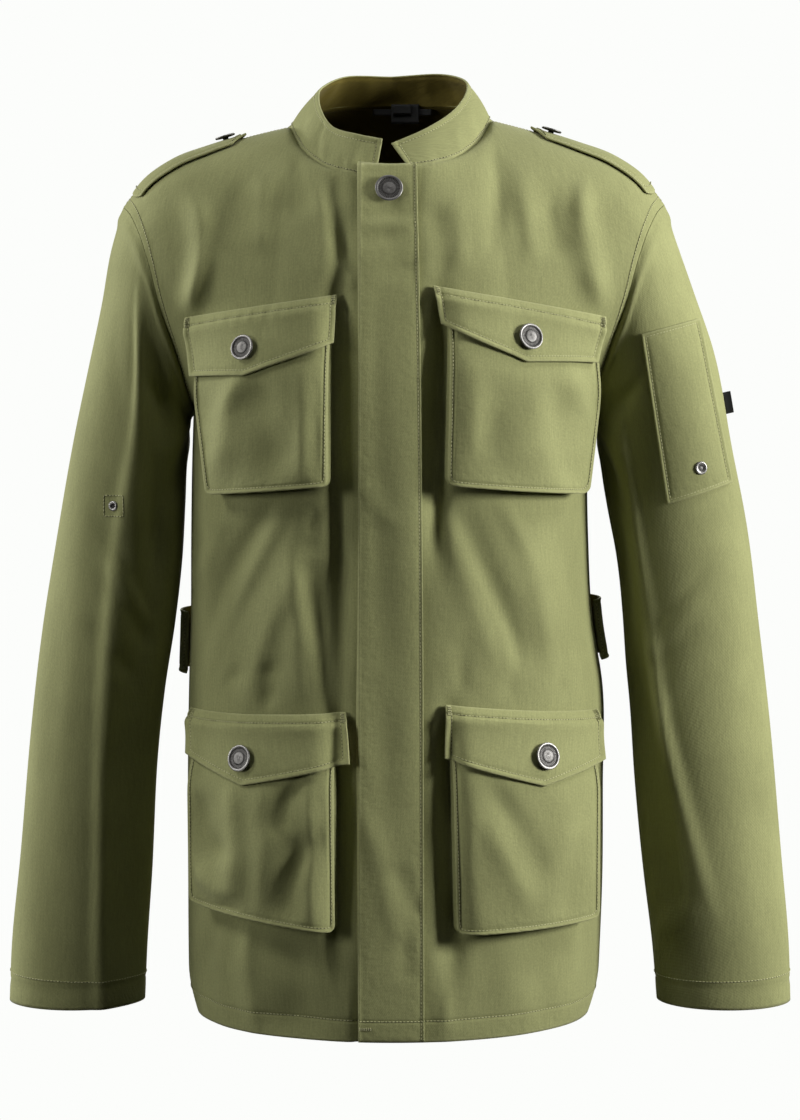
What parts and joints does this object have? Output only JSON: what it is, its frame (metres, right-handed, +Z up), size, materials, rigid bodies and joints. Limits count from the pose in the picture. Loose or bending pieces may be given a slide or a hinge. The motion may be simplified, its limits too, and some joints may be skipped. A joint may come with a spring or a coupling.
{
  "type": "chef jacket",
  "caption": "Long-sleeved stand-collar chef jacket, filled out as worn with no wearer, with a fly front, flapped bellows pockets, shoulder straps and waist tabs.",
  "frame": {"origin": "middle of the neck opening, level with the side of the neck, where the jacket is held by its wearer", "axes": "+Z up, the jacket's front faces -Y, the wearer's left is +X"},
  "size_m": [0.6635, 0.2719, 0.7867],
  "materials": {
    "twill": "olive cotton twill, matt",
    "button_metal": "antique silver, satin",
    "trim_black": "black woven trim, matt"
  },
  "bodies": {
    "root": {"back": "twill", "button_chest_left": "button_metal", "button_chest_right": "button_metal", "button_lower_left": "button_metal", "button_lower_right": "button_metal", "button_neck": "button_metal", "button_strap_left": "button_metal", "button_strap_right": "button_metal", "chest_flap_left": "twill", "chest_flap_right": "twill", "chest_pocket_left": "twill", "chest_pocket_right": "twill", "collar": "twill", "front_left": "twill", "front_right": "twill", "hanger_loop": "trim_black", "lower_flap_left": "twill", "lower_flap_right": "twill", "lower_pocket_left": "twill", "lower_pocket_right": "twill", "neck_label": "trim_black", "placket": "twill", "shoulder_strap_left": "twill", "shoulder_strap_right": "twill", "size_tab": "trim_black", "sleeve_left": "twill", "sleeve_pocket": "twill", "sleeve_pocket_snap": "button_metal", "sleeve_right": "twill", "sleeve_snap_right": "button_metal", "sleeve_tag": "trim_black", "waist_tab_left": "twill", "waist_tab_right": "twill"}
  },
  "joints": []
}
